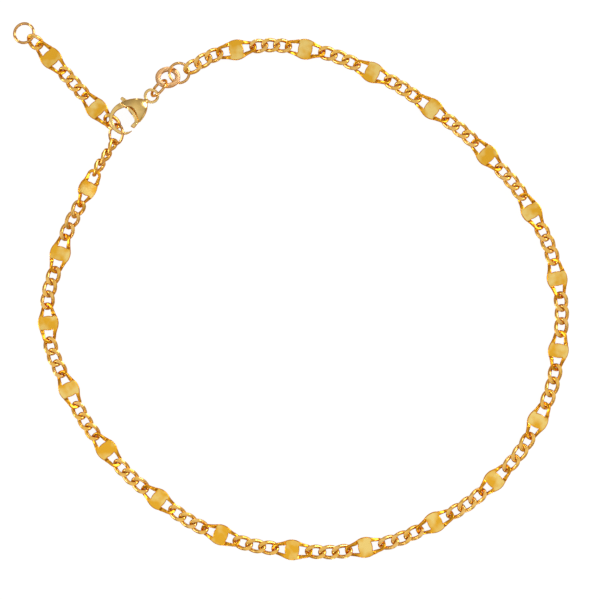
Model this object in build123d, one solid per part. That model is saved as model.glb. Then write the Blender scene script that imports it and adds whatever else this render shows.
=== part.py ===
from build123d import *
import math
import os

# A chain anklet, fastened and lying flat, in millimetres. +Z is up and the origin is at the bottom centre of the
# whole. The chain alternates long plate links with runs of three curb links; each run is one flat tube. The clasp
# hooks a ring that carries both the chain's end and an extender, which ends in a ring of its own.

# Plate links round the loop, clockwise from the clasp, then those on the extender, from its free end.
# Columns: centre x, centre y, roll about the chain's own line in degrees.
LOOP_PLATES = [
    (-8.7, 38.4, 0),
    (2.3, 38.5, 0),
    (13.0, 34.8, 0),
    (22.5, 29.0, 0),
    (31.3, 21.6, 0),
    (38.4, 12.6, 0),
    (42.5, 1.9, 0),
    (42.7, -9.6, 0),
    (39.4, -20.8, 0),
    (32.5, -30.3, 0),
    (23.0, -37.0, 0),
    (11.9, -41.0, 0),
    (0.2, -41.4, 0),
    (-11.2, -39.0, 0),
    (-21.1, -33.3, 0),
    (-29.4, -25.4, 0),
    (-35.4, -15.8, 0),
    (-38.7, -5.2, 0),
    (-36.8, 5.9, 8),
    (-32.3, 16.2, 52),
]
EXTENDER_PLATES = [(-38.3, 37.1, 0), (-31.0, 29.0, 0)]

# Roll of the two runs of curb links that turn on edge towards the clasp ring, by run number.
RUN_ROLLS = {20: 30, 21: 68}

# Chain
CHAIN_HEIGHT = 1.15  # of the curb links as they lie
RUN_WIDTH = 2.1
RUN_CORNER = 0.3
RUN_GAP = 0.1  # between a run and the link or ring at its end
PLATE_LENGTH = 6.6
PLATE_WIDTH = 3.15
PLATE_NECK = 2.1  # width where the bowed sides meet the round ends
PLATE_END = 0.75  # length of each round end
PLATE_THICKNESS = 0.45
WINDOW_START = 1.0  # from the middle of the link to the window's corners
WINDOW_END = 2.65
WINDOW_BULGE = 0.15  # how far the plate's edge bows into the window
WINDOW_START_WIDTH = 1.8
WINDOW_END_WIDTH = 1.2

# Rings. Columns of a ring's place: centre x, centre y, direction of its level axis, tilt about that axis.
RING_RADIUS = 1.58  # to the middle of the wire
RING_WIRE = 0.44
END_RING = (-42.6, 41.1, 47, -10)
CLASP_RING = (-27.8, 24.9, 90, -43)
HANGER_RING = (-20.95, 32.18, 49, -61)
CHAIN_RING = (-17.8, 34.7, 95, 8)
CHAIN_RING_HEIGHT = 0.785
WASHER = (-19.6, 33.95, 0, -27)
WASHER_OUTER = 1.98
WASHER_INNER = 1.17
WASHER_THICKNESS = 0.4

# Clasp, in its own frame: origin in the eye, X towards the hook's far end, Z up
CLASP_EYE = (-22.2, 31.0)
CLASP_TURN = 225
CLASP_HEIGHT = 1.08  # middle of the eye above the surface
CLASP_LIFT = 5  # degrees that the hook end is raised
EYE_RADIUS = 1.01
EYE_WIRE = 0.48
NECK_START = 0.95
NECK_END = 1.6
NECK_RADIUS = 0.42
BODY_RIGHT = [(1.3, 0.4), (2.05, 1.06), (3.3, 1.55), (4.4, 1.68)]
BODY_FRONT = [(4.4, 1.68), (3.95, 0.7), (3.6, -0.4), (3.75, -1.05), (4.3, -1.5)]
BODY_LEFT = [(4.3, -2.72), (3.4, -2.3), (2.6, -1.78), (1.3, -0.5)]
BODY_HALF_THICKNESS = 1.18
BODY_RIM = 0.5  # half thickness out at the body's corners
BODY_CROWN = (3.2, -0.35)  # the thickest point
BODY_REACH = 3.4  # from the crown to where the half thickness falls to the rim's
HOOK_OUTER = [(4.1, -2.66), (5.3, -2.84), (6.9, -2.45), (7.9, -1.4), (8.12, -0.25), (7.8, 0.98), (6.05, 1.82)]
HOOK_INNER = [(6.05, 1.82), (7.35, 0.78), (7.58, -0.3), (7.1, -1.55), (6.1, -2.12), (5.0, -2.0), (4.1, -1.5)]
HOOK_THICKNESS = 0.68
PIVOT = (3.5, -1.65)
PIN_RADIUS = 0.28
PIN_CLEARANCE = 0.04
PIN_HALF_LENGTH = 1.0
LEVER_THICKNESS = 0.84
LEVER_BOSS = 0.56
LEVER_CLEARANCE = 0.1
LEVER_ARM = [(3.7, -1.15), (3.64, -0.4), (3.88, 0.7), (4.3, 1.6)]
LEVER_GATE = [(4.3, 1.6), (5.62, 1.76), (5.82, 1.13), (4.85, 1.1)]
LEVER_ARM_INNER = [(4.85, 1.1), (4.5, 0.6), (4.32, -0.5), (4.0, -1.6)]
LEVER_TAB = [(3.15, -2.0), (3.4, -3.2), (3.9, -3.15), (3.85, -2.0)]
SLOT_REACH = 3.6
SLOT_ARM_SECTOR = (3, 106)
SLOT_TAB_SECTOR = (-148, -53)
SLOT_TAB_REACH = 2.2


def resting_height(width, thickness, roll):
    """Height of the middle of a flat piece that is rolled and touches the surface."""
    angle = math.radians(abs(roll))
    return (width * math.sin(angle) + thickness * math.cos(angle)) / 2


def ring_centre(place):
    return Vector(place[0], place[1], 0)


def headings(stations):
    """The chain's direction at each station but the first and last, from the chord between its neighbours."""
    return [(after - before).normalized() for before, after in zip(stations, stations[2:])]


def plate_link():
    """One plate link, its length along X: a bowed plate with a window at each end."""
    side = PLATE_LENGTH / 2 - PLATE_END
    neck = PLATE_NECK / 2
    upper = ThreePointArc((-side, neck), (0, PLATE_WIDTH / 2), (side, neck))
    right = ThreePointArc((side, neck), (PLATE_LENGTH / 2, 0), (side, -neck))
    lower = ThreePointArc((side, -neck), (0, -PLATE_WIDTH / 2), (-side, -neck))
    left = ThreePointArc((-side, -neck), (-PLATE_LENGTH / 2, 0), (-side, neck))
    wide = WINDOW_START_WIDTH / 2
    narrow = WINDOW_END_WIDTH / 2
    bowed = ThreePointArc((WINDOW_START, -wide), (WINDOW_START + WINDOW_BULGE, 0), (WINDOW_START, wide))
    straight = Polyline(
        (WINDOW_START, wide), (WINDOW_END, narrow), (WINDOW_END, -narrow), (WINDOW_START, -wide)
    )
    window = make_face([bowed, straight])
    face = make_face([upper, right, lower, left]) - window - Rot(0, 0, 180) * window
    return extrude(face, PLATE_THICKNESS / 2, both=True)


def placed_plate(x, y, roll, direction):
    height = max(CHAIN_HEIGHT / 2, resting_height(PLATE_WIDTH, PLATE_THICKNESS, roll))
    turn = math.degrees(math.atan2(direction.Y, direction.X))
    return Pos(x, y, height) * Rot(0, 0, turn) * Rot(roll, 0, 0) * plate_link()


def curb_run(name, start, corner, end, roll=0):
    """A flat tube from start to end, its two straight stretches joined by the largest arc that fits."""
    height = resting_height(RUN_WIDTH, CHAIN_HEIGHT, roll)
    lift = Vector(0, 0, height)
    first, last = corner - start, end - corner
    turn = math.radians(first.get_angle(last))
    radius = 0.45 * min(first.length, last.length) / math.tan(turn / 2)
    path = FilletPolyline(start + lift, corner + lift, end + lift, radius=radius)
    frame = Plane(origin=start + lift, x_dir=(0, 0, 1), z_dir=first)
    section = frame * Rot(0, 0, roll) * RectangleRounded(CHAIN_HEIGHT, RUN_WIDTH, RUN_CORNER)
    tube = sweep(section, path=path)
    print(f"{name}: radius {radius:.1f}, volume {tube.volume:.3f}, section x length {section.area * path.length:.3f}")
    return tube


def bend(start, direction, end, other_direction):
    """The corner of a run that leaves start and reaches end along two directions, half way along it."""
    half = (end - start).length / 2
    return ((start + direction * half) + (end - other_direction * half)) * 0.5


def loop_chain():
    """The plate links and curb runs of the loop."""
    reach = PLATE_LENGTH / 2 + RUN_GAP
    ring_edge = RING_RADIUS + RING_WIRE / 2 + RUN_GAP
    rings = [ring_centre(CHAIN_RING), ring_centre(CLASP_RING)]
    centres = [Vector(x, y, 0) for x, y, roll in LOOP_PLATES]
    directions = headings([rings[0], *centres, rings[1]])
    pieces = {}
    for i, ((x, y, roll), direction) in enumerate(zip(LOOP_PLATES, directions), 1):
        pieces[f"plate_link_{i:02d}"] = placed_plate(x, y, roll, direction)
    leaving = (centres[0] - rings[0]).normalized()
    arriving = (rings[1] - centres[-1]).normalized()
    starts = [rings[0] + leaving * ring_edge] + [c + d * reach for c, d in zip(centres, directions)]
    ends = [c - d * reach for c, d in zip(centres, directions)] + [rings[1] - arriving * ring_edge]
    runs = zip(starts, [leaving, *directions], ends, [*directions, arriving])
    for i, (start, direction, end, other_direction) in enumerate(runs, 1):
        name = f"curb_run_{i:02d}"
        corner = bend(start, direction, end, other_direction)
        pieces[name] = curb_run(name, start, corner, end, RUN_ROLLS.get(i, 0))
    return pieces


def straight_run(start, end):
    """A straight flat tube."""
    lift = Vector(0, 0, CHAIN_HEIGHT / 2)
    frame = Plane(origin=start + lift, x_dir=(0, 0, 1), z_dir=end - start)
    return extrude(frame * RectangleRounded(CHAIN_HEIGHT, RUN_WIDTH, RUN_CORNER), (end - start).length)


def extender():
    """The extender's plate links and curb runs, from its free end to the clasp ring."""
    reach = PLATE_LENGTH / 2 + RUN_GAP
    centres = [Vector(x, y, 0) for x, y, roll in EXTENDER_PLATES]
    direction = (centres[1] - centres[0]).normalized()
    first = len(LOOP_PLATES) + 1
    pieces = {}
    for i, (x, y, roll) in enumerate(EXTENDER_PLATES, first):
        pieces[f"plate_link_{i}"] = placed_plate(x, y, roll, direction)
    ring_edge = RING_RADIUS + RING_WIRE / 2 + RUN_GAP
    pieces[f"curb_run_{first + 1}"] = straight_run(centres[0] + direction * reach, centres[1] - direction * reach)
    link_end = centres[0] - direction * reach
    ring = ring_centre(END_RING)
    link_start = ring + (link_end - ring).normalized() * ring_edge
    pieces[f"curb_run_{first + 2}"] = straight_run(link_start, link_end)
    return pieces


def tilted(place, height):
    """The location of a ring from its place's four columns and its height."""
    x, y, axis, tilt = place
    return Pos(x, y, height) * Rot(0, 0, axis) * Rot(tilt, 0, 0)


def wire_ring(place, height=None):
    """A round ring of round wire, which touches the surface unless its height is given."""
    if height is None:
        height = RING_RADIUS * math.sin(math.radians(abs(place[3]))) + RING_WIRE / 2
    return tilted(place, height) * Torus(RING_RADIUS, RING_WIRE / 2)


def tag_washer():
    """The flat ring between the two round ones."""
    height = resting_height(2 * WASHER_OUTER, WASHER_THICKNESS, WASHER[3])
    face = Circle(WASHER_OUTER) - Circle(WASHER_INNER)
    return tilted(WASHER, height) * extrude(face, WASHER_THICKNESS / 2, both=True)


def clasp_place():
    return Pos(*CLASP_EYE, CLASP_HEIGHT) * Rot(0, 0, CLASP_TURN) * Rot(0, -CLASP_LIFT, 0)


def crown_profile(middle):
    """A lens: thickest at middle, thinning to the rim BODY_REACH away on both sides."""
    low, high = middle - BODY_REACH, middle + BODY_REACH
    top = ThreePointArc((low, BODY_RIM), (middle, BODY_HALF_THICKNESS), (high, BODY_RIM))
    bottom = ThreePointArc((low, -BODY_RIM), (middle, -BODY_HALF_THICKNESS), (high, -BODY_RIM))
    ends = [Line((low, -BODY_RIM), (low, BODY_RIM)), Line((high, -BODY_RIM), (high, BODY_RIM))]
    return make_face([top, bottom, *ends])


def sector(radius, low, high):
    """A pie slice about the origin between two angles in degrees."""
    arc = CenterArc((0, 0), radius, low, high - low)
    return make_face([Line((0, 0), arc @ 0), arc, Line(arc @ 1, (0, 0))])


def clasp_body():
    """Body, hook, eye and rivet pin, soldered into one; the lever's slot is open along the front and at the tab."""
    outline = make_face(
        [
            Spline(*BODY_RIGHT),
            Spline(*BODY_FRONT),
            Line(BODY_FRONT[-1], BODY_LEFT[0]),
            Spline(*BODY_LEFT),
            Line(BODY_LEFT[-1], BODY_RIGHT[0]),
        ]
    )
    cheeks = extrude(outline, BODY_HALF_THICKNESS, both=True)
    along = Plane.XZ * crown_profile(BODY_CROWN[0])
    across = Plane.YZ * crown_profile(BODY_CROWN[1])
    cheeks = cheeks & extrude(along, BODY_REACH * 2, both=True) & extrude(across, BODY_REACH * 3, both=True)
    hook_face = make_face([Spline(*HOOK_OUTER), Spline(*HOOK_INNER), Line(HOOK_INNER[-1], HOOK_OUTER[0])])
    hook = extrude(hook_face, HOOK_THICKNESS / 2, both=True)
    neck_plane = Plane(origin=(NECK_START, 0, 0), z_dir=(1, 0, 0))
    neck = extrude(neck_plane * Circle(NECK_RADIUS), NECK_END - NECK_START)
    slot_face = (
        sector(SLOT_REACH, *SLOT_ARM_SECTOR)
        + sector(SLOT_TAB_REACH, *SLOT_TAB_SECTOR)
        + Circle(LEVER_BOSS + LEVER_CLEARANCE)
    )
    slot = Pos(*PIVOT, 0) * extrude(slot_face, LEVER_THICKNESS / 2 + LEVER_CLEARANCE, both=True)
    pin = Pos(*PIVOT, 0) * Cylinder(PIN_RADIUS, 2 * PIN_HALF_LENGTH)
    eye = Torus(EYE_RADIUS, EYE_WIRE / 2)
    return clasp_place() * (cheeks + hook + neck + eye - slot + pin)


def clasp_lever():
    """Thumb tab, boss on the pin, and gate arm, one flat piece."""
    arm = make_face(
        [
            Spline(*LEVER_ARM),
            Polyline(*LEVER_GATE),
            Spline(*LEVER_ARM_INNER),
            Line(LEVER_ARM_INNER[-1], LEVER_ARM[0]),
        ]
    )
    tab = make_face(Polyline(*LEVER_TAB, close=True))
    boss = Pos(*PIVOT) * Circle(LEVER_BOSS)
    bore = Pos(*PIVOT) * Circle(PIN_RADIUS + PIN_CLEARANCE)
    lever = extrude(arm + tab + boss - bore, LEVER_THICKNESS / 2, both=True)
    return clasp_place() * lever


def main():
    pieces = loop_chain()
    pieces.update(extender())
    pieces["end_ring"] = wire_ring(END_RING)
    pieces["clasp_ring"] = wire_ring(CLASP_RING)
    pieces["hanger_ring"] = wire_ring(HANGER_RING)
    pieces["chain_ring"] = wire_ring(CHAIN_RING, CHAIN_RING_HEIGHT)
    pieces["tag_washer"] = tag_washer()
    pieces["clasp_body"] = clasp_body()
    pieces["clasp_lever"] = clasp_lever()
    os.makedirs("parts", exist_ok=True)
    for name, shape in pieces.items():
        export_step(shape, f"parts/{name}.step")
    box = Compound(children=list(pieces.values())).bounding_box()
    print("box", box.min, box.max)


main()
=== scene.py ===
import math
from collections import namedtuple

import bmesh
import bpy
from bpy.props import FloatProperty, FloatVectorProperty, IntProperty, PointerProperty
from mathutils import Matrix, Vector
from mathutils.geometry import interpolate_bezier


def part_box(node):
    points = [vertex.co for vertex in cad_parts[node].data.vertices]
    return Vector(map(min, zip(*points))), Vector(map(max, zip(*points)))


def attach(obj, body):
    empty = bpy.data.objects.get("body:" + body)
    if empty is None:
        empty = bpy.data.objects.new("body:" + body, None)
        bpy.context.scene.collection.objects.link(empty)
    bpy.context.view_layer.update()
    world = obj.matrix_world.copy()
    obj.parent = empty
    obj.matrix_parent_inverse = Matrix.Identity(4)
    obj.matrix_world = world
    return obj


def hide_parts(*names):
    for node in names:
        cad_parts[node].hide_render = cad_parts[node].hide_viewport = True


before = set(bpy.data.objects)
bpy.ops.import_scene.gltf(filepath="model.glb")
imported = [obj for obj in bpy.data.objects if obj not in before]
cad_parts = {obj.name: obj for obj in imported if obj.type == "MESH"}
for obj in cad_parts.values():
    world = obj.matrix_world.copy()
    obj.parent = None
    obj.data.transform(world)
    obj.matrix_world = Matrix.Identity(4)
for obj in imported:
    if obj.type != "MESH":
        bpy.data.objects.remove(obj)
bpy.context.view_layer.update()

bl_info = {
    "name": "Chain anklet",
    "version": (1, 0, 0),
    "blender": (4, 5, 0),
    "location": "3D View > Sidebar > Anklet",
    "description": "Curb links, plate links, rings, tag washer and lobster clasp of a gold chain anklet",
    "category": "Object",
}

MM = 0.001
BODY = "anklet"
LEVER_BODY = "lever"
LOOP_PLATES = 20  # plate links round the loop; the extender has two more
LINKS_IN_RUN = 3
CUT = 1e-7  # how near a vertex is to a cutting plane, or to another vertex, when the two count as one
SEAM = 1e-6  # the same where a curve's front, back and sides meet
SHARP_ANGLE = math.radians(40)  # an edge that turns by more is shaded crisp
CORNER_ANGLE = math.radians(60)  # an edge that turns by more is bevelled

# Where a plate link lies, or where a curb link hooks its neighbour: a point, the direction that the link's
# length takes there, and the roll about that direction in degrees.
Place = namedtuple("Place", "point heading roll")

# How the plate links and curb links are rolled about their length, in degrees. The others lie flat.
PLATE_ROLLS = {19: 5, 20: 41}
CLASP_RUN_ROLLS = (66, 84)  # the start and end of the run that turns on edge towards the clasp ring
RING_LINK_ROLL = 18  # of a link that hooks a ring lying flat
PLATE_LIFT = Vector((0, 0, 0.11 * MM))  # keeps the twisted ends off the floor

# The single curb link between the clasp ring and the extender.
CLASP_LINK_HEADING = math.radians(-37)
CLASP_LINK_HEIGHTS = (0.62 * MM, 0.98 * MM)

# How each ring lies, in degrees: the heading of the level axis that it tilts about, its tilt, and where its
# ends meet.
RingLie = namedtuple("RingLie", "axis tilt butt")
RING_LIES = {
    "end_ring": RingLie(47, -10, 40),
    "clasp_ring": RingLie(90, -43, 200),
    "hanger_ring": RingLie(49, -61, 70),
    "chain_ring": RingLie(95, 8, 330),
}
WASHER_TILT = -27
RING_SIDES = 24
RING_STEPS = 96
BUTT_EDGE = 0.02 * MM  # rounding of a ring's two ends

# A quarter of a plate link's outline, from the middle of a side to the tip, in parts of its half length and
# its half width.
PLATE_OUTLINE = (
    (0.0, 1.03),
    (0.18, 0.99),
    (0.36, 0.845),
    (0.53, 0.71),
    (0.68, 0.62),
    (0.83, 0.53),
    (0.95, 0.40),
    (1.0, 0.13),
)
WINDOW_HALF_WIDTHS = (0.7 * MM, 0.56 * MM)  # at its start and at its end
WINDOW_ROUNDING = 0.6  # length of a window's round end over its half width
WINDOW_STEPS = 8
LENGTH_CUTS = 30  # on each side of the middle, along a plate link
WIDTH_CUTS = 5  # the same across it

# Where, from a plate link's middle, each part of its twist starts and is complete.
SHOULDER_TWIST = (1.0 * MM, 1.45 * MM)
END_TWIST = (1.5 * MM, 2.7 * MM)
SMOOTH_TWIST = (1.1 * MM, 2.7 * MM)  # on the side without a shoulder
FLAT_FACE = 0.99  # the least Z of the normal of a face on the flat front or back

# The clasp's own frame has its origin in the eye and its X towards the hook's far end.
CLASP_EYE = Vector((-22.2 * MM, 31.0 * MM, 1.08 * MM))
CLASP_HEADING = math.radians(225)
CLASP_LIFT = math.radians(-5)
CLASP_SHOULDERS = (1.3 * MM, 4.4 * MM)  # where the body is rounded most
CLASP_BODY_END = (4.2 * MM, 5.2 * MM)  # where the crowned body fades into the hook
CLASP_CROWN = Vector((3.2 * MM, -0.35 * MM))  # the body's thickest place
CLASP_REACH = 2.4  # millimetres from the crown past which the body thins no more

BRUSHED_MAP = "plate"  # name of the UV map, in millimetres, that a brushed finish follows
POLISH_AND_SHADE_MARK = "polish"  # name of the attribute that marks a brushed piece's polished faces, which also get a deeper colour as painted shade

# Scales of a finish's clouds and grain, to a metre on the polished golds and to a millimetre on the brushed
# one. The grain's scale along Y is multiplied by the stretch.
POLISHED_GRAIN = {"Cloud scale": 450.0, "Grain scale": 9000.0, "Grain stretch": 1.0}
BRUSHED_GRAIN = {"Cloud scale": 0.4, "Grain scale": 14.0, "Grain stretch": 0.12}
CLOUD_RANGE = (0.42, 0.61)  # noise below it is all one colour, and above it all the paler one
GRAIN_DEPTH = 0.01 * MM  # height of the grain at full bump
PALER = 0.06  # how much nearer to white a polished gold's clouds are
GRAZING_TINT = (1.0, 0.8, 0.5, 1)  # of what gold mirrors at a low angle
PAINTED_CREVICE_LIGHT = (0.95, 0.66, 0.2)  # painted light: a paler gold that reflections of gold in other gold show, which lifts the shade in the crevices between links
PAINTED_CREVICE_LIGHT_SHARE = 0.9  # how much of that painted light goes into what such reflections see
COAT = {"Coat Weight": 1.0, "Coat IOR": 1.6, "Coat Roughness": 0.09}  # bright skin of the curb links
FINISH_SOCKETS = (
    ("Vector", "INPUT", "NodeSocketVector"),
    ("Colour", "INPUT", "NodeSocketColor"),
    ("Pale colour", "INPUT", "NodeSocketColor"),
    ("Cloud scale", "INPUT", "NodeSocketFloat"),
    ("Roughness", "INPUT", "NodeSocketFloat"),
    ("Variation", "INPUT", "NodeSocketFloat"),
    ("Grain scale", "INPUT", "NodeSocketFloat"),
    ("Grain stretch", "INPUT", "NodeSocketFloat"),
    ("Colour", "OUTPUT", "NodeSocketColor"),
    ("Roughness", "OUTPUT", "NodeSocketFloat"),
    ("Height", "OUTPUT", "NodeSocketFloat"),
)

# Brightness of the studio at heights from the horizon to straight up.
SKY = ((0.0, 0.26), (0.2, 0.28), (0.5, 0.38), (0.75, 0.56), (0.92, 0.76), (1.0, 0.88))
WARM_HORIZON = (1.0, 0.76, 0.42)  # tint of the studio's walls, which fades upwards
SKY_LEAN = 0.1  # how much brighter the studio is towards +Y
FLOOR_GLOW = 0.93  # strength of the floor's own white light, where the camera sees it
FLOOR_PALE = (0.12, 0.12, 0.11, 1)  # the floor's colour there, which the lamps and soft shadows fall on
FLOOR_WARM = (0.7, 0.5, 0.28, 1)  # its colour as the metal mirrors it

# Soft boxes round the stage, all one distance away: angles in degrees, width in metres.
Lamp = namedtuple("Lamp", "name azimuth elevation width radiance")
LAMPS = (
    Lamp("key", 35, 27, 0.26, 9.0),
    Lamp("left", 186, 25, 0.2, 8.0),
    Lamp("top", 88, 19, 0.1, 10.0),
    Lamp("low", 268, 20, 0.1, 10.0),
    Lamp("side", 334, 12, 0.2, 1.15),
)
LAMP_DISTANCE = 0.6

# A dim panel overhead.
OVERHEAD_PLACE = (0, -0.205, 0.25)
OVERHEAD_SIZE = (0.5, 0.4)
OVERHEAD_RADIANCE = 0.14

VIEW_CENTRE = (1.47 * MM, -1.52 * MM)  # the place on the floor that the camera is straight above


class ChainSizes(bpy.types.PropertyGroup):
    wire: FloatProperty(
        name="Wire", description="Thickness of a link's wire", default=0.6 * MM, unit="LENGTH"
    )
    half_width: FloatProperty(
        name="Half width",
        description="From a link's middle to the middle of its side",
        default=0.86 * MM,
        unit="LENGTH",
    )
    rise: FloatProperty(
        name="Rise", description="How far the twist lifts each side", default=0.34 * MM, unit="LENGTH"
    )
    pitch: FloatProperty(
        name="Pitch", description="Length that a link adds", default=1.95 * MM, unit="LENGTH"
    )
    slack: FloatProperty(
        name="Slack", description="Play where two links meet", default=0.02 * MM, unit="LENGTH"
    )
    flat_height: FloatProperty(
        name="Flat height",
        description="Height of the ground flats above the middle",
        default=0.46 * MM,
        unit="LENGTH",
    )
    flank_reach: FloatProperty(
        name="Flank reach",
        description="From the middle to the sloping ground flats",
        default=0.88 * MM,
        unit="LENGTH",
    )
    flank_slope: FloatProperty(
        name="Flank slope",
        description="Tilt of the sloping flats",
        default=math.radians(35),
        subtype="ANGLE",
    )
    segments: IntProperty(name="Segments", description="Steps round a link", default=36)
    sides: IntProperty(name="Sides", description="Sides of the wire", default=12)


class PlateSizes(bpy.types.PropertyGroup):
    length: FloatProperty(
        name="Length", description="Length over the ends", default=6.6 * MM, unit="LENGTH"
    )
    width: FloatProperty(
        name="Width", description="Width across the middle", default=3.22 * MM, unit="LENGTH"
    )
    thickness: FloatProperty(
        name="Thickness", description="Thickness of the plate", default=0.42 * MM, unit="LENGTH"
    )
    edge: FloatProperty(
        name="Edge", description="Radius of the rounded edges", default=0.13 * MM, unit="LENGTH"
    )
    window_start: FloatProperty(
        name="Window start",
        description="From the middle to a window's corners",
        default=1.06 * MM,
        unit="LENGTH",
    )
    window_end: FloatProperty(
        name="Window end",
        description="From the middle to a window's far end",
        default=2.74 * MM,
        unit="LENGTH",
    )
    window_bulge: FloatProperty(
        name="Window bulge",
        description="How far the plate bows into a window",
        default=0.1 * MM,
        unit="LENGTH",
    )
    dish: FloatProperty(
        name="Dish",
        description="Sag of the plate's middle along the link",
        default=0.024 * MM,
        unit="LENGTH",
    )
    crown: FloatProperty(
        name="Crown", description="Rise of its middle across", default=0.02 * MM, unit="LENGTH"
    )
    shoulder_twist: FloatProperty(
        name="Shoulder twist",
        description="Twist just past the plate",
        default=math.radians(20),
        subtype="ANGLE",
    )
    end_twist: FloatProperty(
        name="End twist",
        description="Further twist to the ends",
        default=math.radians(14),
        subtype="ANGLE",
    )


class RingSizes(bpy.types.PropertyGroup):
    radius: FloatProperty(
        name="Radius", description="To the middle of the wire", default=1.58 * MM, unit="LENGTH"
    )
    wire: FloatProperty(
        name="Wire", description="Thickness of the wire", default=0.44 * MM, unit="LENGTH"
    )
    butt_gap: FloatProperty(
        name="Butt gap", description="Between the ring's ends", default=0.02 * MM, unit="LENGTH"
    )
    washer_outer: FloatProperty(
        name="Washer radius", description="Radius of the tag washer", default=1.98 * MM, unit="LENGTH"
    )
    washer_inner: FloatProperty(
        name="Washer hole", description="Radius of its hole", default=1.17 * MM, unit="LENGTH"
    )
    washer_thickness: FloatProperty(
        name="Washer thickness", description="Thickness of its sheet", default=0.4 * MM, unit="LENGTH"
    )
    washer_edge: FloatProperty(
        name="Washer edge", description="Rounding of its rims", default=0.07 * MM, unit="LENGTH"
    )


class ClaspSizes(bpy.types.PropertyGroup):
    cast_grain: FloatProperty(
        name="Cast grain",
        description="Finest detail that the casting keeps",
        default=0.04 * MM,
        unit="LENGTH",
    )
    polishing: IntProperty(
        name="Polishing", description="Rounds of smoothing over the casting", default=24
    )
    rounding: IntProperty(
        name="Rounding", description="Further rounds over the body's shoulders", default=40
    )
    crown: FloatProperty(
        name="Crown", description="How fast the body thins away from its crown", default=0.095
    )


class Finishes(bpy.types.PropertyGroup):
    chain: FloatVectorProperty(
        name="Chain",
        description="Gold of the curb links",
        default=(0.90, 0.50, 0.055),
        subtype="COLOR",
        size=3,
    )
    plate: FloatVectorProperty(
        name="Plate",
        description="Gold of the plate links",
        default=(0.83, 0.43, 0.03),
        subtype="COLOR",
        size=3,
    )
    plate_pale: FloatVectorProperty(
        name="Plate, pale",
        description="Its paler clouds",
        default=(0.91, 0.66, 0.2),
        subtype="COLOR",
        size=3,
    )
    # Painted shade: a deeper gold on the polished edges and ends of the plate links, which darkens their
    # rims.
    rim_painted_shade: FloatVectorProperty(
        name="Plate rim, painted shade",
        description="Polished edges and ends of the plate links",
        default=(0.86, 0.40, 0.025),
        subtype="COLOR",
        size=3,
    )
    clasp: FloatVectorProperty(
        name="Clasp",
        description="Paler gold of the clasp",
        default=(0.85, 0.58, 0.19),
        subtype="COLOR",
        size=3,
    )
    ring: FloatVectorProperty(
        name="Rings",
        description="Rose-tinted gold of the rings",
        default=(0.83, 0.46, 0.13),
        subtype="COLOR",
        size=3,
    )
    washer: FloatVectorProperty(
        name="Washer",
        description="Pinkish gold of the tag washer",
        default=(0.76, 0.45, 0.21),
        subtype="COLOR",
        size=3,
    )


class StageSizes(bpy.types.PropertyGroup):
    floor: FloatProperty(name="Floor", description="Width of the floor", default=3.0, unit="LENGTH")
    field: FloatProperty(
        name="Field", description="Width of the camera's field", default=96 * MM, unit="LENGTH"
    )
    lens: FloatProperty(name="Lens", description="Focal length in millimetres", default=100.0)


def smoothstep(low, high, value):
    """Rises smoothly from 0 at low to 1 at high."""
    t = min(1.0, max(0.0, (value - low) / (high - low)))
    return t * t * (3 - 2 * t)


def link_to_scene(obj):
    bpy.context.scene.collection.objects.link(obj)
    return obj


def shape_made_by(holder):
    """The bmesh that an object's curve or modifiers make. The object itself goes."""
    depsgraph = bpy.context.evaluated_depsgraph_get()
    mesh = bpy.data.meshes.new_from_object(holder.evaluated_get(depsgraph))
    bpy.data.objects.remove(holder)
    bm = bmesh.new()
    bm.from_mesh(mesh)
    bpy.data.meshes.remove(mesh)
    return bm


def mesh_of(bm, name):
    """Turns a bmesh into a mesh and frees it."""
    mesh = bpy.data.meshes.new(name)
    bm.to_mesh(mesh)
    bm.free()
    return mesh


def finished_piece(name, bm, material, nodes=(), body=BODY):
    """Turns a bmesh into a smooth piece that rides on a body and stands for its CAD nodes."""
    bm.normal_update()
    for face in bm.faces:
        face.smooth = True
    for edge in bm.edges:
        edge.smooth = not edge.is_manifold or edge.calc_face_angle() < SHARP_ANGLE
    mesh = mesh_of(bm, name)
    mesh.materials.append(material)
    piece = link_to_scene(bpy.data.objects.new(name, mesh))
    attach(piece, body)
    if nodes:
        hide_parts(*nodes)


def add_mesh(bm, mesh, matrix):
    """Adds a placed copy of a mesh to a bmesh."""
    before = set(bm.verts)
    bm.from_mesh(mesh)
    new = [v for v in bm.verts if v not in before]
    bmesh.ops.transform(bm, matrix=matrix, verts=new)


def spin_about_z(bm, steps, turn=math.tau):
    """Spins everything in a bmesh about Z. A full turn closes on itself."""
    bmesh.ops.spin(
        bm,
        geom=bm.verts[:] + bm.edges[:],
        cent=(0, 0, 0),
        axis=(0, 0, 1),
        angle=turn,
        steps=steps,
        use_merge=turn == math.tau,
    )


def spin_wire(bm, radius, wire, sides, steps, start=0.0, turn=math.tau):
    """Spins a circle of wire about Z, from a start angle through a turn."""
    upright = Matrix.Translation((radius, 0, 0)) @ Matrix.Rotation(math.pi / 2, 4, "X")
    place = Matrix.Rotation(start, 4, "Z") @ upright
    bmesh.ops.create_circle(bm, segments=sides, radius=wire / 2, matrix=place)
    spin_about_z(bm, steps, turn)


def bevel_corners(bm, width, segments):
    """Bevels the edges that turn sharply."""
    corners = [e for e in bm.edges if e.is_manifold and e.calc_face_angle() > CORNER_ANGLE]
    bmesh.ops.bevel(
        bm, geom=corners, offset=width, affect="EDGES", segments=segments, profile=0.5, material=-1
    )


def cut_across(bm, normal, distance, clear_outer=False):
    """Cuts a shape by a plane at a distance from the origin. Returns what the cut made."""
    return bmesh.ops.bisect_plane(
        bm,
        geom=bm.verts[:] + bm.edges[:] + bm.faces[:],
        dist=CUT,
        plane_co=normal * distance,
        plane_no=normal,
        clear_outer=clear_outer,
    )["geom_cut"]


def node_centre(node):
    low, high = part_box(node)
    return (low + high) / 2


def level(vector):
    """The level direction that a vector points in."""
    return Vector((vector.x, vector.y, 0)).normalized()


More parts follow.
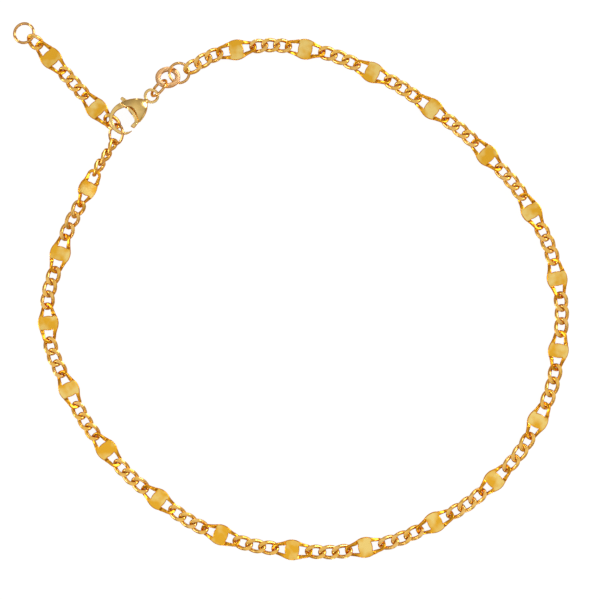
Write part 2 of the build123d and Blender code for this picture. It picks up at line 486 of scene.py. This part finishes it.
def matrix_of(place):
    """Turns +X along a place's heading, then rolls by its degrees about it, at its point."""
    ahead = place.heading.normalized()
    left = Vector((0, 0, 1)).cross(ahead).normalized()
    axes = Matrix((ahead, left, ahead.cross(left))).transposed().to_4x4()
    return Matrix.Translation(place.point) @ axes @ Matrix.Rotation(math.radians(place.roll), 4, "X")


def ring_frame(ring):
    """The location of a ring's own frame, whose Z is the ring's axis."""
    lie = RING_LIES[ring]
    turn = Matrix.Rotation(math.radians(lie.axis), 4, "Z") @ Matrix.Rotation(math.radians(lie.tilt), 4, "X")
    return Matrix.Translation(node_centre(ring)) @ turn


def ring_point(ring, bearing, sizes):
    """The point inside a ring's wire at a bearing in the ring's own frame."""
    reach = sizes.radius - sizes.wire / 2
    return ring_frame(ring) @ Vector((reach * math.cos(bearing), reach * math.sin(bearing), 0))


def ring_joint(ring, towards, sizes):
    """The point inside a ring's wire where a link that comes from towards hooks it."""
    local = ring_frame(ring).inverted() @ towards
    return ring_point(ring, math.atan2(local.y, local.x), sizes)


def plate_places():
    """The place of each plate link in order, the loop's clockwise and then the extender's, free end first."""
    loop = [node_centre(f"plate_link_{i:02d}") for i in range(1, LOOP_PLATES + 1)]
    stations = [node_centre("chain_ring"), *loop, node_centre("clasp_ring")]
    places = []
    for i, centre in enumerate(loop, 1):
        heading = level(stations[i + 1] - stations[i - 1])
        places.append(Place(centre + PLATE_LIFT, heading, PLATE_ROLLS.get(i, 0)))
    extender = [node_centre(f"plate_link_{LOOP_PLATES + i}") for i in (1, 2)]
    heading = level(extender[1] - extender[0])
    return places + [Place(centre + PLATE_LIFT, heading, 0) for centre in extender]


def curb_link_mesh(sizes):
    """One curb link, its length along X: a twisted oval of round wire with ground flats."""
    bm = bmesh.new()
    spin_wire(bm, 1, sizes.wire, sizes.sides, sizes.segments)
    half_length = (sizes.pitch + sizes.wire + sizes.slack) / 2
    for vert in bm.verts:
        bend_to_oval(vert, half_length, sizes.half_width, sizes.rise)
    grind(bm, Vector((0, 0, 1)), sizes.flat_height)
    slope = sizes.flank_slope
    for side in (1, -1):
        grind(bm, Vector((0, side * math.sin(slope), math.cos(slope))), sizes.flank_reach)
    bmesh.ops.recalc_face_normals(bm, faces=bm.faces)
    return mesh_of(bm, "curb_link")


def bend_to_oval(vert, half_length, half_width, rise):
    """Moves a vertex of a wire spun at radius 1 to the same place of the wire's section on a twisted oval."""
    turn = math.atan2(vert.co.y, vert.co.x)
    cos, sin = math.cos(turn), math.sin(turn)
    out = math.hypot(vert.co.x, vert.co.y) - 1
    up = vert.co.z
    middle = Vector((half_length * cos, half_width * sin, -rise * math.sin(2 * turn)))
    along = Vector((-half_length * sin, half_width * cos, -2 * rise * math.cos(2 * turn))).normalized()
    outward = Vector((along.y, -along.x, 0)).normalized()
    vert.co = middle + outward * out + outward.cross(along) * up


def grind(bm, normal, reach):
    """Grinds a pair of opposite flats whose distance from the middle is reach."""
    for side in (normal, -normal):
        cut = cut_across(bm, side, reach, clear_outer=True)
        bmesh.ops.holes_fill(bm, edges=[e for e in cut if isinstance(e, bmesh.types.BMEdge)])


def run_of_links(link, pitch, start, end, count=LINKS_IN_RUN):
    """Links along a gentle curve from start to end, rolling evenly from the one's roll to the other's."""
    bm = bmesh.new()
    reach = (end.point - start.point).length / 3
    handles = (start.point + start.heading * reach, end.point - end.heading * reach)
    points = interpolate_bezier(start.point, *handles, end.point, count + 1)
    for i, (a, b) in enumerate(zip(points, points[1:])):
        stretch = Matrix.Diagonal(((b - a).length / pitch, 1, 1, 1))
        roll = start.roll + (end.roll - start.roll) * (i + 0.5) / count
        add_mesh(bm, link, matrix_of(Place((a + b) / 2, b - a, roll)) @ stretch)
    return bm


def single_link(link, pitch, start, end, roll):
    """One link that lies straight from point to point."""
    heading = (end - start).normalized()
    return run_of_links(link, pitch, Place(start, heading, roll), Place(end, heading, roll), count=1)


def plate_joint(place, end, plates, chain):
    """Where the next link hooks a plate link's end, 1 ahead or -1 behind."""
    return place._replace(point=place.point + place.heading * end * (plates.length / 2 - chain.wire))


def loop_runs(loop, plates, chain, rings):
    """Start and end of each run of the loop, clockwise from the chain ring to the clasp ring."""
    first, last = loop[0].point, loop[-1].point
    ring_start = ring_joint("chain_ring", first, rings)
    ring_end = ring_joint("clasp_ring", last, rings)
    starts = [Place(ring_start, level(first - ring_start), RING_LINK_ROLL)]
    starts += [plate_joint(place, 1, plates, chain) for place in loop]
    starts[-1] = starts[-1]._replace(roll=CLASP_RUN_ROLLS[0])
    ends = [plate_joint(place, -1, plates, chain) for place in loop]
    ends.append(Place(ring_end, level(ring_end - last), CLASP_RUN_ROLLS[1]))
    return list(zip(starts, ends))


class ANKLET_OT_curb_runs(bpy.types.Operator):
    """Make the runs of curb links between the plate links"""

    bl_idname = "anklet.curb_runs"
    bl_label = "Curb links"

    def execute(self, context):
        scene = context.scene
        chain, plates, rings = scene.anklet_chain, scene.anklet_plates, scene.anklet_rings
        material = gold("chain_gold", scene.anklet_finishes.chain, polish=0.28)
        for name, value in COAT.items():
            material.node_tree.nodes["Principled BSDF"].inputs[name].default_value = value
        link = curb_link_mesh(chain)
        *loop, free, held = plate_places()
        runs = loop_runs(loop, plates, chain, rings)
        runs.append((plate_joint(free, 1, plates, chain), plate_joint(held, -1, plates, chain)))
        shapes = [run_of_links(link, chain.pitch, start, end) for start, end in runs]
        end = plate_joint(free, -1, plates, chain).point
        start = ring_joint("end_ring", end, rings)
        shapes.append(single_link(link, chain.pitch, start, end, RING_LINK_ROLL))
        for number, bm in enumerate(shapes, 1):
            finished_piece(
                f"curb_links_{number:02d}", bm, material, [f"curb_run_{number:02d}"]
            )
        self.add_clasp_link(link, chain.pitch, rings, material)
        return {"FINISHED"}

    def add_clasp_link(self, link, pitch, rings, material):
        """Adds the single link between the clasp ring and the extender, which has no CAD node."""
        end = ring_point("clasp_ring", 0, rings)
        ahead = Vector((math.cos(CLASP_LINK_HEADING), math.sin(CLASP_LINK_HEADING), 0))
        start = end - ahead * pitch
        start.z, end.z = CLASP_LINK_HEIGHTS
        bm = single_link(link, pitch, start, end, roll=0)
        finished_piece("curb_link_at_clasp", bm, material)


def add_outline(curve, points, kind="POLY"):
    """Adds a closed flat outline to a curve."""
    spline = curve.splines.new(kind)
    spline.points.add(len(points) - 1)
    for point, (x, y) in zip(spline.points, points):
        point.co = (x, y, 0, 1)
    spline.use_cyclic_u = True
    return spline


def plate_outline(sizes):
    """Control points of the outer outline, all the way round."""
    quarter = [(x * sizes.length / 2, y * sizes.width / 2) for x, y in PLATE_OUTLINE]
    front = quarter[1:] + [(x, -y) for x, y in reversed(quarter)]
    back = [(-x, -y) for x, y in quarter[1:]] + [(-x, y) for x, y in reversed(quarter)]
    return front + back


def window_outline(sizes, side):
    """Points of the window ahead (side 1) or behind (side -1): the plate's bowed edge, then a round end."""
    wide, narrow = WINDOW_HALF_WIDTHS
    rounding = narrow * WINDOW_ROUNDING
    points = []
    for i in range(WINDOW_STEPS + 1):
        y = -wide + 2 * wide * i / WINDOW_STEPS
        points.append((sizes.window_start + sizes.window_bulge * (1 - (y / wide) ** 2), y))
    for i in range(WINDOW_STEPS + 1):
        turn = math.pi / 2 - math.pi * i / WINDOW_STEPS
        points.append((sizes.window_end - rounding + rounding * math.cos(turn), narrow * math.sin(turn)))
    return [(side * x, side * y) for x, y in points]


def plate_blank(sizes):
    """A flat plate link with its windows and rounded edges."""
    curve = bpy.data.curves.new("plate_outline", "CURVE")
    curve.dimensions = "2D"
    curve.fill_mode = "BOTH"
    curve.extrude = sizes.thickness / 2 - sizes.edge
    curve.bevel_depth = sizes.edge
    curve.bevel_resolution = 2
    curve.offset = -sizes.edge
    curve.resolution_u = 6
    outline = add_outline(curve, plate_outline(sizes), kind="NURBS")
    outline.order_u = 3
    for side in (1, -1):
        add_outline(curve, window_outline(sizes, side))
    bm = shape_made_by(link_to_scene(bpy.data.objects.new("plate_outline", curve)))
    bmesh.ops.remove_doubles(bm, verts=bm.verts, dist=SEAM)
    bmesh.ops.recalc_face_normals(bm, faces=bm.faces)
    return bm


def slice_evenly(bm, axis, spacing, count):
    """Cuts a shape across an axis, in the middle and count times on each side, so that it can be bent."""
    for i in range(-count, count + 1):
        cut_across(bm, axis, i * spacing)


def mark_finish(bm, sizes):
    """Maps a flat plate link's brushed finish and marks its edges and ends as polished and as painted with a
    deeper shade.
    """
    uv = bm.loops.layers.uv.new(BRUSHED_MAP)
    polish = bm.loops.layers.float.new(POLISH_AND_SHADE_MARK)
    for face in bm.faces:
        on_end = abs(face.calc_center_median().x) > sizes.window_start
        polished_and_shaded = on_end or abs(face.normal.z) < FLAT_FACE
        for loop in face.loops:
            loop[uv].uv = loop.vert.co.xy / MM
            loop[polish] = polished_and_shaded


def twist_and_dish(vert, sizes):
    """Bends a flat plate link: twists its ends to hook the curb links, and dishes and crowns its middle."""
    x, y, z = vert.co
    reach = abs(x)
    if x * y < 0:
        twist = sizes.shoulder_twist * smoothstep(*SHOULDER_TWIST, reach)
        twist += sizes.end_twist * smoothstep(*END_TWIST, reach)
    else:
        twist = (sizes.shoulder_twist + sizes.end_twist) * smoothstep(*SMOOTH_TWIST, reach)
    twist *= -1 if x > 0 else 1
    lift = -sizes.dish * max(0, 1 - (x / sizes.window_start) ** 2)
    lift += sizes.crown * (1 - (2 * y / sizes.width) ** 2)
    vert.co = (x, y - z * math.sin(twist), lift + y * math.tan(twist) + z * math.cos(twist))


def plate_mesh(sizes):
    """One plate link, its length along X."""
    bm = plate_blank(sizes)
    slice_evenly(bm, Vector((1, 0, 0)), sizes.length / 2 / (LENGTH_CUTS + 0.5), LENGTH_CUTS)
    slice_evenly(bm, Vector((0, 1, 0)), sizes.width / 2 / (WIDTH_CUTS + 1), WIDTH_CUTS)
    mark_finish(bm, sizes)
    for vert in bm.verts:
        twist_and_dish(vert, sizes)
    return mesh_of(bm, "plate_link")


class ANKLET_OT_plate_links(bpy.types.Operator):
    """Make the satin plate links"""

    bl_idname = "anklet.plate_links"
    bl_label = "Plate links"

    def execute(self, context):
        finishes = context.scene.anklet_finishes
        material = satin("plate_gold", finishes.plate, finishes.plate_pale)
        # Painted shade: the polished edges and ends get a deeper gold.
        polish_and_shade_marked_faces(material, finishes.rim_painted_shade, polish=0.24)
        template = plate_mesh(context.scene.anklet_plates)
        for number, place in enumerate(plate_places(), 1):
            bm = bmesh.new()
            add_mesh(bm, template, matrix_of(place))
            uv = bm.loops.layers.uv[BRUSHED_MAP]
            shift = place.point.xy / MM
            for face in bm.faces:
                for loop in face.loops:
                    loop[uv].uv += shift
            finished_piece(
                f"plate_satin_{number:02d}", bm, material, [f"plate_link_{number:02d}"]
            )
        return {"FINISHED"}


class ANKLET_OT_rings(bpy.types.Operator):
    """Make the four jump rings"""

    bl_idname = "anklet.rings"
    bl_label = "Jump rings"

    def execute(self, context):
        sizes = context.scene.anklet_rings
        material = gold("ring_gold", context.scene.anklet_finishes.ring, polish=0.1)
        gap = sizes.butt_gap / sizes.radius
        for name, lie in RING_LIES.items():
            bm = bmesh.new()
            start = math.radians(lie.butt) + gap / 2
            spin_wire(bm, sizes.radius, sizes.wire, RING_SIDES, RING_STEPS, start, math.tau - gap)
            bmesh.ops.holes_fill(bm, edges=bm.edges)
            bevel_corners(bm, BUTT_EDGE, segments=2)
            bmesh.ops.recalc_face_normals(bm, faces=bm.faces)
            bmesh.ops.transform(bm, matrix=ring_frame(name), verts=bm.verts)
            finished_piece(name.replace("ring", "jump_ring"), bm, material, [name])
        return {"FINISHED"}


class ANKLET_OT_washer(bpy.types.Operator):
    """Make the tag washer"""

    bl_idname = "anklet.washer"
    bl_label = "Tag washer"

    def execute(self, context):
        sizes = context.scene.anklet_rings
        material = gold("washer_gold", context.scene.anklet_finishes.washer, polish=0.3)
        bm = bmesh.new()
        bmesh.ops.create_grid(bm, x_segments=1, y_segments=1, size=0.5)  # a square one unit wide
        middle = (sizes.washer_outer + sizes.washer_inner) / 2
        section = Matrix.Diagonal((sizes.washer_outer - sizes.washer_inner, sizes.washer_thickness, 1, 1))
        upright = Matrix.Translation((middle, 0, 0)) @ Matrix.Rotation(math.pi / 2, 4, "X")
        bmesh.ops.transform(bm, matrix=upright @ section, verts=bm.verts)
        bmesh.ops.delete(bm, geom=bm.faces[:], context="FACES_ONLY")
        spin_about_z(bm, RING_STEPS)
        bevel_corners(bm, sizes.washer_edge, segments=4)
        bmesh.ops.recalc_face_normals(bm, faces=bm.faces)
        tilt = Matrix.Rotation(math.radians(WASHER_TILT), 4, "X")
        lie = Matrix.Translation(node_centre("tag_washer")) @ tilt
        bmesh.ops.transform(bm, matrix=lie, verts=bm.verts)
        finished_piece("tag_disc", bm, material, ["tag_washer"])
        return {"FINISHED"}


def clasp_frame():
    """The location of the clasp's own frame, with its origin in the eye."""
    turn = Matrix.Rotation(CLASP_HEADING, 4, "Z") @ Matrix.Rotation(CLASP_LIFT, 4, "Y")
    return Matrix.Translation(CLASP_EYE) @ turn


def polish_away(bm, verts, rounds):
    """Smooths vertices as polishing rounds a casting."""
    for _ in range(rounds):
        bmesh.ops.smooth_vert(
            bm, verts=verts, factor=0.5, use_axis_x=True, use_axis_y=True, use_axis_z=True
        )


def cast(node, sizes):
    """A cast copy of a node: remeshed finely, polished and crowned."""
    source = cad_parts[node].data.copy()
    bm = bmesh.new()
    bm.from_mesh(source)
    bmesh.ops.remove_doubles(bm, verts=bm.verts, dist=CUT)
    bm.to_mesh(source)
    bm.free()
    holder = link_to_scene(bpy.data.objects.new(node + "_casting", source))
    remesh = holder.modifiers.new("grain", "REMESH")
    remesh.mode = "VOXEL"
    remesh.voxel_size = sizes.cast_grain
    bm = shape_made_by(holder)
    place = clasp_frame()
    bmesh.ops.transform(bm, matrix=place.inverted(), verts=bm.verts)
    polish_away(bm, bm.verts, sizes.polishing)
    start, end = CLASP_SHOULDERS
    polish_away(bm, [v for v in bm.verts if start < v.co.x < end], sizes.rounding)
    for vert in bm.verts:
        reach = min((vert.co.xy - CLASP_CROWN).length / MM, CLASP_REACH)
        body = 1 - smoothstep(*CLASP_BODY_END, vert.co.x)
        vert.co.z *= 1 - body * sizes.crown * reach ** 2
    bmesh.ops.transform(bm, matrix=place, verts=bm.verts)
    return bm


class ANKLET_OT_clasp(bpy.types.Operator):
    """Make the lobster clasp's body and lever"""

    bl_idname = "anklet.clasp"
    bl_label = "Lobster clasp"

    def execute(self, context):
        sizes = context.scene.anklet_clasp
        material = gold("clasp_gold", context.scene.anklet_finishes.clasp, polish=0.15)
        body, lever = cast("clasp_body", sizes), cast("clasp_lever", sizes)
        finished_piece("clasp_shell", body, material, ["clasp_body"])
        finished_piece("clasp_gate", lever, material, ["clasp_lever"], LEVER_BODY)
        return {"FINISHED"}


def feed(tree, socket, source):
    """Gives a node's input an output to read, or a value."""
    if isinstance(source, bpy.types.NodeSocket):
        tree.links.new(source, socket)
    else:
        socket.default_value = source


def add_node(tree, kind, inputs=None, **settings):
    """Adds a node, applies its settings and feeds its inputs, which are given by name or number."""
    node = tree.nodes.new(kind)
    for name, value in settings.items():
        setattr(node, name, value)
    for name, source in (inputs or {}).items():
        feed(tree, node.inputs[name], source)
    return node


def mix(tree, kind, factor, first, second):
    """The output of a mix of two colours (kind RGBA) or two numbers (kind FLOAT)."""
    node = add_node(tree, "ShaderNodeMix", {"Factor": factor, "A": first, "B": second}, data_type=kind)
    return node.outputs["Result"]


def shader_nodes(name):
    """A new material, its node tree and its shader."""
    material = bpy.data.materials.new(name)
    material.use_nodes = True
    return material, material.node_tree, material.node_tree.nodes["Principled BSDF"]


def finish_group():
    """The shared surface finish: a colour clouded by a paler one, a roughness and a fine grain's height."""
    if "metal_finish" in bpy.data.node_groups:
        return bpy.data.node_groups["metal_finish"]
    group = bpy.data.node_groups.new("metal_finish", "ShaderNodeTree")
    for name, way, kind in FINISH_SOCKETS:
        group.interface.new_socket(name, in_out=way, socket_type=kind)
    given = add_node(group, "NodeGroupInput").outputs
    clouds = {"Vector": given["Vector"], "Scale": given["Cloud scale"], "Detail": 2.0}
    cloud = add_node(group, "ShaderNodeTexNoise", clouds).outputs["Fac"]
    low, high = CLOUD_RANGE
    patch = add_node(group, "ShaderNodeMapRange", {"Value": cloud, "From Min": low, "From Max": high})
    stretch = add_node(group, "ShaderNodeCombineXYZ", {"X": 1.0, "Y": given["Grain stretch"], "Z": 1.0})
    along = {0: given["Vector"], 1: stretch.outputs["Vector"]}
    brushed = add_node(group, "ShaderNodeVectorMath", along, operation="MULTIPLY")
    grains = {"Vector": brushed.outputs["Vector"], "Scale": given["Grain scale"], "Detail": 2.0}
    grain = add_node(group, "ShaderNodeTexNoise", grains).outputs["Fac"]
    varied = {0: grain, 1: given["Variation"], 2: given["Roughness"]}
    roughness = add_node(group, "ShaderNodeMath", varied, operation="MULTIPLY_ADD").outputs["Value"]
    shade = mix(group, "RGBA", patch.outputs["Result"], given["Colour"], given["Pale colour"])
    add_node(group, "NodeGroupOutput", {"Colour": shade, "Roughness": roughness, "Height": grain})
    return group


def metal(name, colours, roughness, variation, bump, grain, uv_map=None):
    """A metal in a colour and a paler one, with its grain on Object coordinates or on a UV map, and painted
    light that makes its reflections in other gold paler.
    """
    material, tree, shader = shader_nodes(name)
    shader.inputs["Metallic"].default_value = 1.0
    shader.inputs["Specular Tint"].default_value = GRAZING_TINT
    if uv_map:
        vector = add_node(tree, "ShaderNodeUVMap", uv_map=uv_map).outputs["UV"]
    else:
        vector = add_node(tree, "ShaderNodeTexCoord").outputs["Object"]
    plain, pale = [(*rgb, 1) for rgb in colours]
    given = {
        "Vector": vector,
        "Colour": plain,
        "Pale colour": pale,
        "Roughness": roughness,
        "Variation": variation,
        **grain,
    }
    finish = add_node(tree, "ShaderNodeGroup", given, node_tree=finish_group()).outputs
    # Painted light: what reflections see of this gold is mixed towards a paler gold, which lifts the shade in
    # crevices.
    seen_in_gold = add_node(tree, "ShaderNodeLightPath").outputs["Is Glossy Ray"]
    painted_light_share = add_node(tree, "ShaderNodeMath", {0: seen_in_gold, 1: PAINTED_CREVICE_LIGHT_SHARE}, operation="MULTIPLY")
    shade = mix(tree, "RGBA", painted_light_share.outputs["Value"], finish["Colour"], (*PAINTED_CREVICE_LIGHT, 1))
    height = {"Strength": bump, "Distance": GRAIN_DEPTH, "Height": finish["Height"]}
    feed(tree, shader.inputs["Normal"], add_node(tree, "ShaderNodeBump", height).outputs["Normal"])
    feed(tree, shader.inputs["Base Color"], shade)
    feed(tree, shader.inputs["Roughness"], finish["Roughness"])
    return material


def gold(name, rgb, polish):
    """A polished gold, faintly clouded and grained."""
    pale = [channel + (1 - channel) * PALER for channel in rgb]
    return metal(name, (rgb, pale), roughness=polish, variation=0.04, bump=0.06, grain=POLISHED_GRAIN)


def satin(name, rgb, pale):
    """A gold brushed along the Y of a piece's UV map, which is in millimetres."""
    brushing = {"roughness": 0.2, "variation": 0.1, "bump": 0.5, "grain": BRUSHED_GRAIN}
    return metal(name, (rgb, pale), **brushing, uv_map=BRUSHED_MAP)


def polish_and_shade_marked_faces(material, rgb, polish):
    """Gives the faces that are marked for it on a satin piece a shine, and a deeper colour that is painted
    shade.
    """
    tree = material.node_tree
    shader = tree.nodes["Principled BSDF"]
    mark = add_node(tree, "ShaderNodeAttribute", attribute_name=POLISH_AND_SHADE_MARK).outputs["Fac"]
    # The deeper colour is painted shade on the rims; the lower roughness is their real polish.
    for name, kind, value in (("Base Color", "RGBA", (*rgb, 1)), ("Roughness", "FLOAT", polish)):
        socket = shader.inputs[name]
        feed(tree, socket, mix(tree, kind, mark, socket.links[0].from_socket, value))


class ANKLET_OT_stage(bpy.types.Operator):
    """Make the floor, the lights and the camera"""

    bl_idname = "anklet.stage"
    bl_label = "Stage"

    def execute(self, context):
        sizes = context.scene.anklet_stage
        self.add_floor(sizes.floor)
        self.light_world(context.scene)
        self.add_lights()
        self.add_camera(context.scene, sizes)
        return {"FINISHED"}

    def add_floor(self, width):
        """Adds the floor, which the camera sees all but white."""
        material, tree, shader = shader_nodes("floor_white")
        seen = add_node(tree, "ShaderNodeLightPath").outputs["Is Camera Ray"]
        glow = add_node(tree, "ShaderNodeMath", {0: seen, 1: FLOOR_GLOW}, operation="MULTIPLY")
        feed(tree, shader.inputs["Base Color"], mix(tree, "RGBA", seen, FLOOR_WARM, FLOOR_PALE))
        feed(tree, shader.inputs["Emission Strength"], glow.outputs["Value"])
        shader.inputs["Emission Color"].default_value = (1, 1, 1, 1)
        shader.inputs["Roughness"].default_value = 0.9
        shader.inputs["Specular IOR Level"].default_value = 0.1
        bm = bmesh.new()
        bmesh.ops.create_grid(bm, x_segments=1, y_segments=1, size=width / 2)
        mesh = mesh_of(bm, "floor")
        mesh.materials.append(material)
        link_to_scene(bpy.data.objects.new("floor", mesh))

    def light_world(self, scene):
        """Lights the studio all round, and shows the camera plain white behind the floor."""
        scene.world = bpy.data.worlds.new("studio")
        scene.world.use_nodes = True
        tree = scene.world.node_tree
        direction = add_node(tree, "ShaderNodeTexCoord").outputs["Generated"]
        parts = add_node(tree, "ShaderNodeSeparateXYZ", {"Vector": direction}).outputs
        ramp = add_node(tree, "ShaderNodeValToRGB", {"Fac": parts["Z"]})
        stops = ramp.color_ramp.elements
        for height, _ in SKY[1:-1]:
            stops.new(height)
        for stop, (height, value) in zip(stops, SKY):
            stop.position = height
            warmth = [1 - (1 - height) * (1 - channel) for channel in WARM_HORIZON]
            stop.color = (*[value * channel for channel in warmth], 1)
        leaning = {0: parts["Y"], 1: SKY_LEAN, 2: 1.0}
        strength = add_node(tree, "ShaderNodeMath", leaning, operation="MULTIPLY_ADD").outputs["Value"]
        seen = add_node(tree, "ShaderNodeLightPath").outputs["Is Camera Ray"]
        background = tree.nodes["Background"].inputs
        feed(tree, background["Color"], mix(tree, "RGBA", seen, ramp.outputs["Color"], (1, 1, 1, 1)))
        feed(tree, background["Strength"], strength)

    def add_lights(self):
        """Adds the soft boxes, each facing the anklet, and the panel overhead."""
        for lamp in LAMPS:
            azimuth, elevation = math.radians(lamp.azimuth), math.radians(lamp.elevation)
            raised = Vector((math.cos(elevation), 0, math.sin(elevation)))
            towards = Matrix.Rotation(azimuth, 3, "Z") @ raised
            facing = towards.to_track_quat("Z", "Y").to_euler()
            size = (lamp.width, lamp.width)
            self.add_lamp(lamp.name, towards * LAMP_DISTANCE, facing, size, lamp.radiance)
        self.add_lamp("overhead", OVERHEAD_PLACE, (0, 0, 0), OVERHEAD_SIZE, OVERHEAD_RADIANCE)

    def add_lamp(self, name, location, rotation, size, radiance):
        """Adds a soft box that lights the stage, unseen by the camera."""
        light = bpy.data.lights.new(name, "AREA")
        light.shape = "RECTANGLE"
        light.size, light.size_y = size
        light.energy = math.pi * light.size * light.size_y * radiance
        lamp = link_to_scene(bpy.data.objects.new(name, light))
        lamp.location = location
        lamp.rotation_euler = rotation
        lamp.visible_camera = False

    def add_camera(self, scene, sizes):
        """Looks straight down on the anklet. The field's width is measured on the floor."""
        camera = bpy.data.cameras.new("camera")
        camera.lens = sizes.lens
        camera.clip_start = 1 * MM
        eye = link_to_scene(bpy.data.objects.new("camera", camera))
        eye.location = (*VIEW_CENTRE, sizes.field * camera.lens / camera.sensor_width)
        scene.camera = eye
        scene.view_settings.view_transform = "Standard"


class ANKLET_PT_panel(bpy.types.Panel):
    """The steps that make the anklet"""

    bl_label = "Chain anklet"
    bl_idname = "ANKLET_PT_panel"
    bl_space_type = "VIEW_3D"
    bl_region_type = "UI"
    bl_category = "Anklet"

    def draw(self, context):
        for step in STEPS:
            self.layout.operator(step.bl_idname)


STEPS = (
    ANKLET_OT_curb_runs,
    ANKLET_OT_plate_links,
    ANKLET_OT_rings,
    ANKLET_OT_washer,
    ANKLET_OT_clasp,
    ANKLET_OT_stage,
)
SETTINGS = {
    "anklet_chain": ChainSizes,
    "anklet_plates": PlateSizes,
    "anklet_rings": RingSizes,
    "anklet_clasp": ClaspSizes,
    "anklet_finishes": Finishes,
    "anklet_stage": StageSizes,
}


def register():
    for cls in (*SETTINGS.values(), *STEPS, ANKLET_PT_panel):
        bpy.utils.register_class(cls)
    for name, group in SETTINGS.items():
        setattr(bpy.types.Scene, name, PointerProperty(type=group))


def unregister():
    for name in SETTINGS:
        delattr(bpy.types.Scene, name)
    for cls in reversed((*SETTINGS.values(), *STEPS, ANKLET_PT_panel)):
        bpy.utils.unregister_class(cls)


def main():
    register()
    bpy.ops.anklet.curb_runs()
    bpy.ops.anklet.plate_links()
    bpy.ops.anklet.rings()
    bpy.ops.anklet.washer()
    bpy.ops.anklet.clasp()
    bpy.ops.anklet.stage()


if __name__ == "__main__":
    main()
